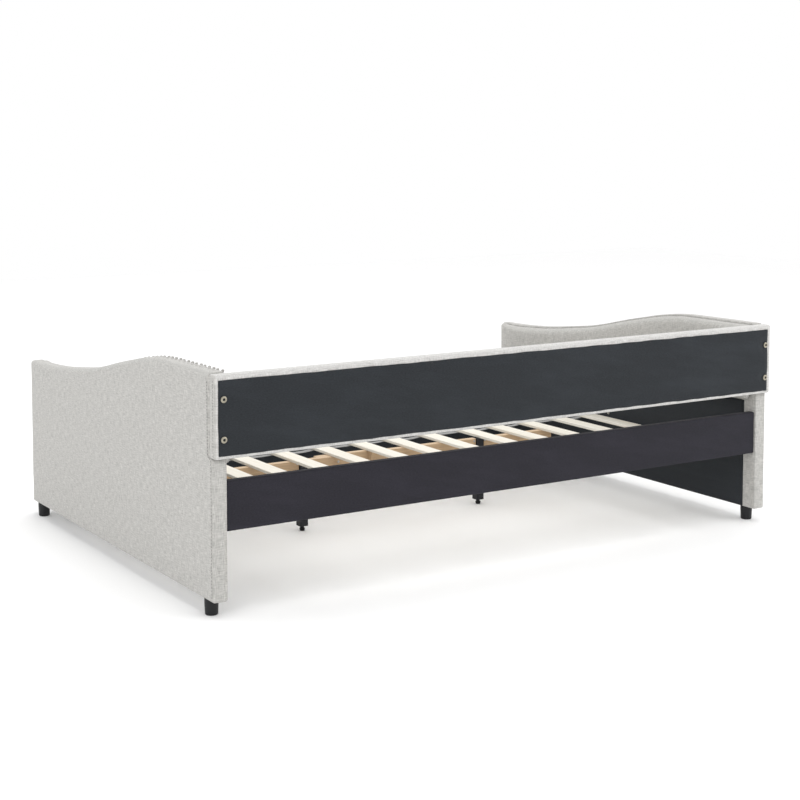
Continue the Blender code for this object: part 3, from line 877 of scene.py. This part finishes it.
def rails():
    """The dark rear rail, the linen front rail and the front rail's lining."""
    low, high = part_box("rear_rail")
    rear = slab("rear_rail_cover", 1, low, high, REAR_RAIL_RADII, 0.004, 0.014, relief=rail_relief)
    dress(rear, "rail_cloth")
    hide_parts("rear_rail")
    low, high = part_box("front_rail")
    front = slab("front_rail_cover", 1, low, high, FRONT_RAIL_RADII, 0.012, 0.012,
                 relief=back_relief)
    dress(front, "linen")
    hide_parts("front_rail")
    low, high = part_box("front_rail_lining")
    lining = sheet_mesh("front_rail_lining_cloth", 1, low, high, (low[1] + high[1]) / 2, 0.012,
                        0.0007, lining_relief)
    dress(lining, "dust_cloth")
    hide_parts("front_rail_lining")


def strap_sag(xs, edges, index):
    """How far a strap hangs below the slats at each x: a shallow arc between neighbours."""
    sag = np.zeros_like(xs)
    for k, ((_, left), (right, _)) in enumerate(zip(edges, edges[1:])):
        depth = 0.0022 + 0.0016 * math.sin(k * 2.3 + index)
        t = (xs - left) / (right - left)
        sag += np.where((t > 0) & (t < 1), depth * 4 * t * (1 - t), 0)
    return sag


def straps():
    """The three woven straps under the slats, a little slack between them."""
    boxes = [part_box(f"slat_{k:02d}") for k in range(1, SLATS + 1)]
    edges = sorted((low[0], high[0]) for low, high in boxes)
    for index in range(1, STRAPS + 1):
        low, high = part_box(f"slat_strap_{index}")
        xs = np.arange(low[0], high[0], 0.004)
        ys = np.linspace(low[1], high[1], 7)
        twist = 0.0010 * np.sin(xs * 31 + index)
        verts, faces = [], []
        for x, s, w in zip(xs, strap_sag(xs, edges, index), twist):
            for y in ys:
                lean = w * (y - (low[1] + high[1]) / 2) / (high[1] - low[1]) * (s > 0)
                verts.append((x, y, high[2] - 0.0005 - s + lean))
        for i in range(len(xs) - 1):
            for j in range(len(ys) - 1):
                k = i * len(ys) + j
                faces.append([k, k + len(ys), k + len(ys) + 1, k + 1])
        strap = new_object(f"strap_{index}", verts, faces)
        solid = strap.modifiers.new("tape", "SOLIDIFY")
        solid.thickness = TAPE_T
        solid.offset = 0.0
        dress(strap, "webbing")
        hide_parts(f"slat_strap_{index}")


# ------------------------------------------------------------------ stage, light, camera
FLOOR_HALF = 9.0
LAMPS = {
    # name: (size, place, target, power)
    "overhead": (5.0, (-0.3, -0.2, 4.2), (0.0, 0.0, 0.3), 100.0),
    "right_rear": (3.0, (-4.2, 4.4, 2.4), (-0.4, 0.2, 0.3), 55.0),
    "camera_side": (3.5, (5.2, 3.0, 2.6), (0.3, 0.0, 0.3), 34.0),
}
EYE = (2.9023, 4.6174, 1.3518)
YAW = math.radians(32.31)
PITCH = math.radians(4.418)
SENSOR = 36.0
LENS_TO_SENSOR = 1.9975
SHIFT_Y = -0.1875


def stage():
    """A plain white floor."""
    h = FLOOR_HALF
    floor = new_object("floor", [(-h, -h, 0), (h, -h, 0), (h, h, 0), (-h, h, 0)], [[0, 1, 2, 3]])
    g = Graph("floor")
    where = g.place()[0]
    soft = g.noise(where, 3.0, 2.0)
    colour = g.mix(g.range(soft, 0.3, 0.7, 0.0, 0.02), (0.985, 0.985, 0.985), (0.97, 0.97, 0.97))
    g.finish(colour, g.range(soft, 0.3, 0.7, 0.80, 0.84), soft, 0.0001, 0.1, Specular_IOR_Level=0.2)
    floor.data.materials.append(g.material)


def area(name, size, place, target, power):
    """A square lamp aimed at a point."""
    data = bpy.data.lights.new(name, "AREA")
    data.shape = "RECTANGLE"
    data.size = size
    data.size_y = size
    data.energy = power
    lamp = bpy.data.objects.new(name, data)
    lamp.location = place
    lamp.rotation_mode = "QUATERNION"
    lamp.rotation_quaternion = (Vector(target) - Vector(place)).to_track_quat("-Z", "Y")
    bpy.context.scene.collection.objects.link(lamp)


def lights():
    """White surroundings and three large soft lamps."""
    world = bpy.data.worlds.new("studio")
    bpy.context.scene.world = world
    world.use_nodes = True
    background = world.node_tree.nodes["Background"]
    background.inputs[0].default_value = (1.0, 1.0, 1.0, 1.0)
    background.inputs[1].default_value = 1.0
    for name, lamp in LAMPS.items():
        area(name, *lamp)


def camera():
    """The camera: behind the bed, to its left, a little above the back panel."""
    data = bpy.data.cameras.new("camera")
    data.sensor_width = SENSOR
    data.lens = SENSOR * LENS_TO_SENSOR
    data.shift_y = SHIFT_Y
    data.clip_end = 60.0
    eye = bpy.data.objects.new("camera", data)
    ahead = Vector((-math.sin(YAW) * math.cos(PITCH), -math.cos(YAW) * math.cos(PITCH),
                    -math.sin(PITCH)))
    eye.location = EYE
    eye.rotation_mode = "QUATERNION"
    eye.rotation_quaternion = ahead.to_track_quat("-Z", "Y")
    bpy.context.scene.collection.objects.link(eye)
    bpy.context.scene.camera = eye


dress_cad_nodes()
arm("r", 1)
arm("l", -1)
back()
rails()
straps()
stage()
lights()
camera()
bpy.context.scene.view_settings.view_transform = "Standard"

bpy.context.view_layer.update()
